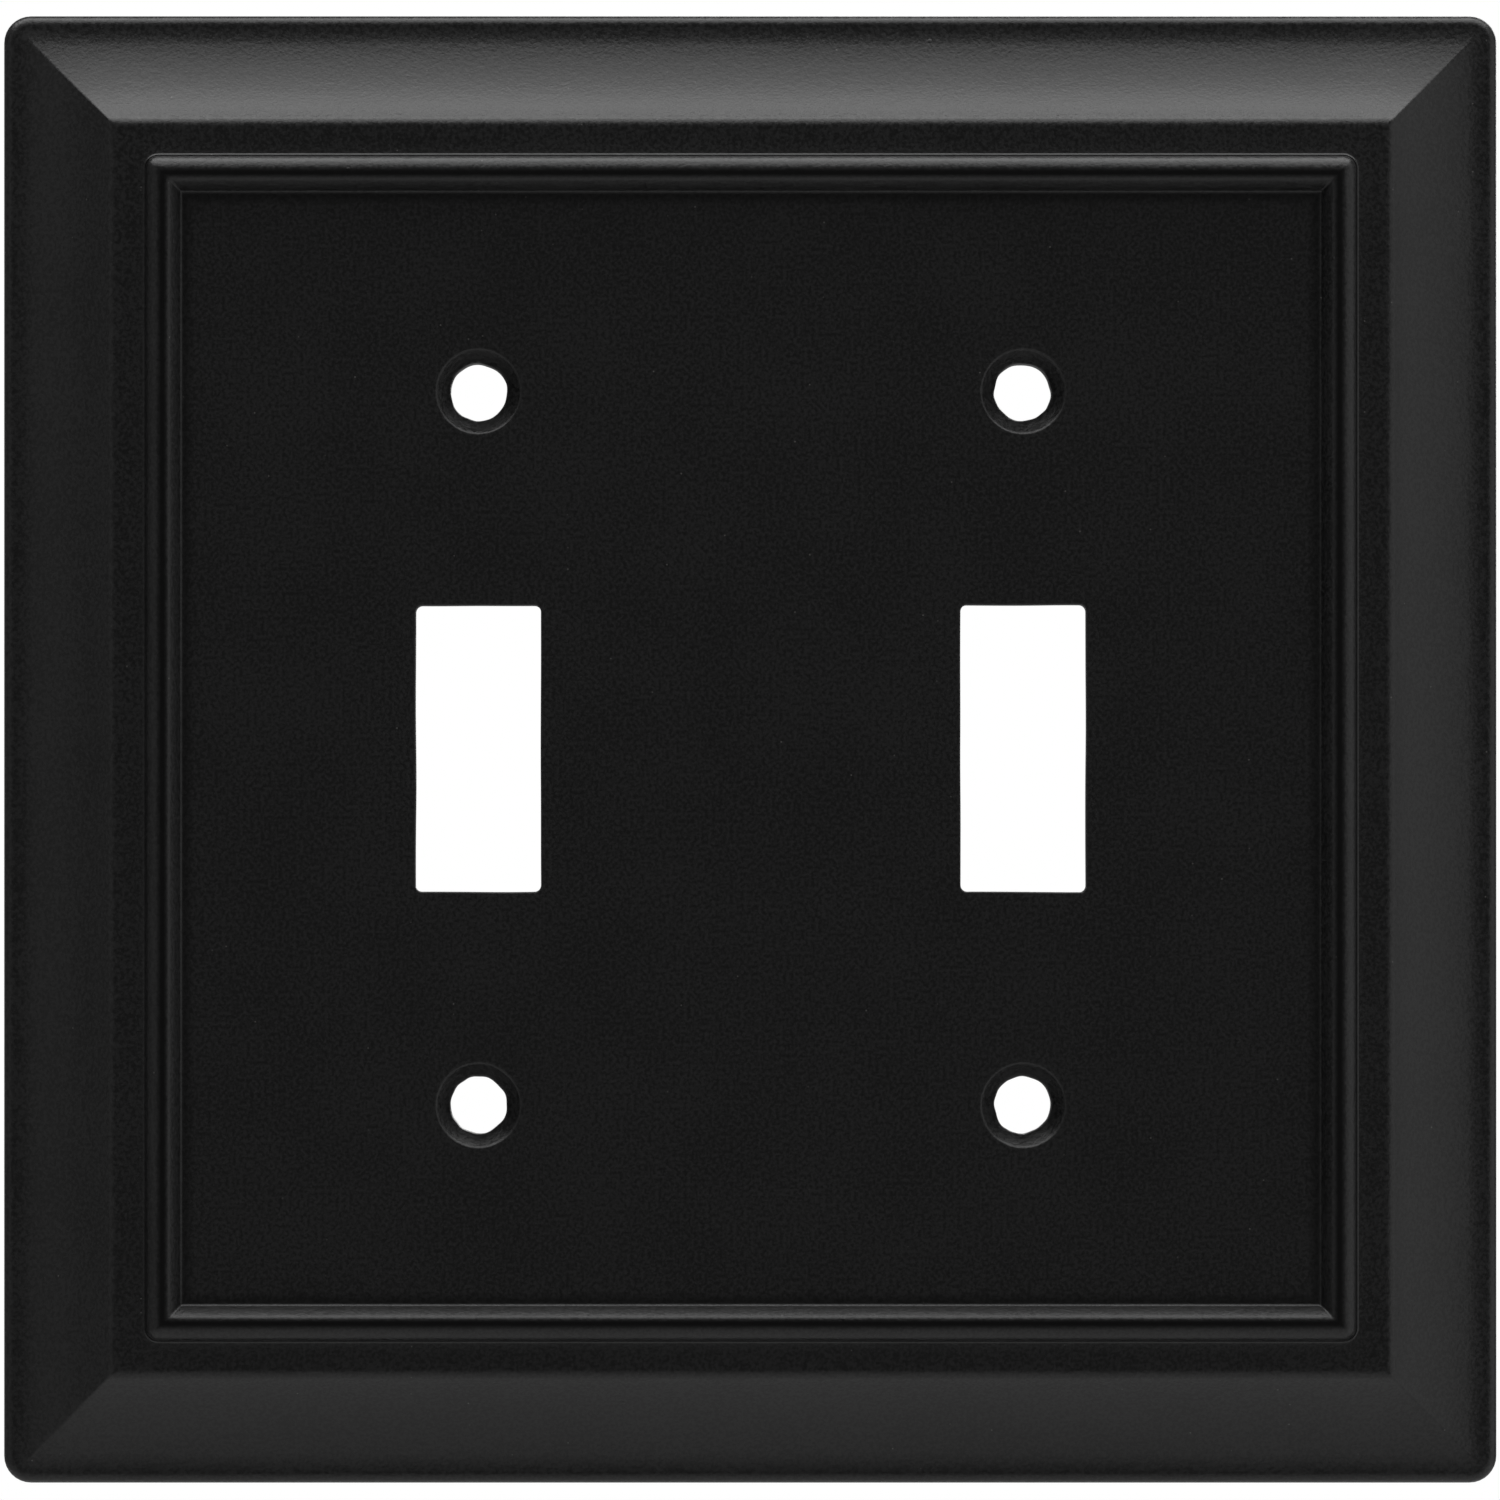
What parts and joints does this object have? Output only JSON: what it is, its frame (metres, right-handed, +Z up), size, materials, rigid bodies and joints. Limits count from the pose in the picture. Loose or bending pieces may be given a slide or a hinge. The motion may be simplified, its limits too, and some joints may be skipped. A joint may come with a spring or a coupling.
{
  "type": "switch wall plate",
  "caption": "Two-gang toggle switch wall plate with a picture-frame moulding, cast metal painted satin black, with its mounting screws stowed in the back.",
  "frame": {"origin": "centre of the plane of the back rim, which rests on the wall", "axes": "+Z up, +X to the right as seen from the front, -Y out of the wall towards the room"},
  "size_m": [0.127, 0.0103, 0.1248],
  "materials": {
    "plate_paint": "satin black paint with a fine grain",
    "screw_paint": "satin black paint"
  },
  "bodies": {
    "plate": {"wall_plate": "plate_paint"},
    "screw_top_left": {"mounting_screw_top_left": "screw_paint"},
    "screw_top_right": {"mounting_screw_top_right": "screw_paint"},
    "screw_bottom_left": {"mounting_screw_bottom_left": "screw_paint"},
    "screw_bottom_right": {"mounting_screw_bottom_right": "screw_paint"}
  },
  "joints": [
    {"name": "lift_screw_top_left", "type": "slide", "parent": "plate", "child": "screw_top_left", "axis": [0, 1, 0], "range_m": [0, 0.012]},
    {"name": "lift_screw_top_right", "type": "slide", "parent": "plate", "child": "screw_top_right", "axis": [0, 1, 0], "range_m": [0, 0.012]},
    {"name": "lift_screw_bottom_left", "type": "slide", "parent": "plate", "child": "screw_bottom_left", "axis": [0, 1, 0], "range_m": [0, 0.012]},
    {"name": "lift_screw_bottom_right", "type": "slide", "parent": "plate", "child": "screw_bottom_right", "axis": [0, 1, 0], "range_m": [0, 0.012]}
  ]
}
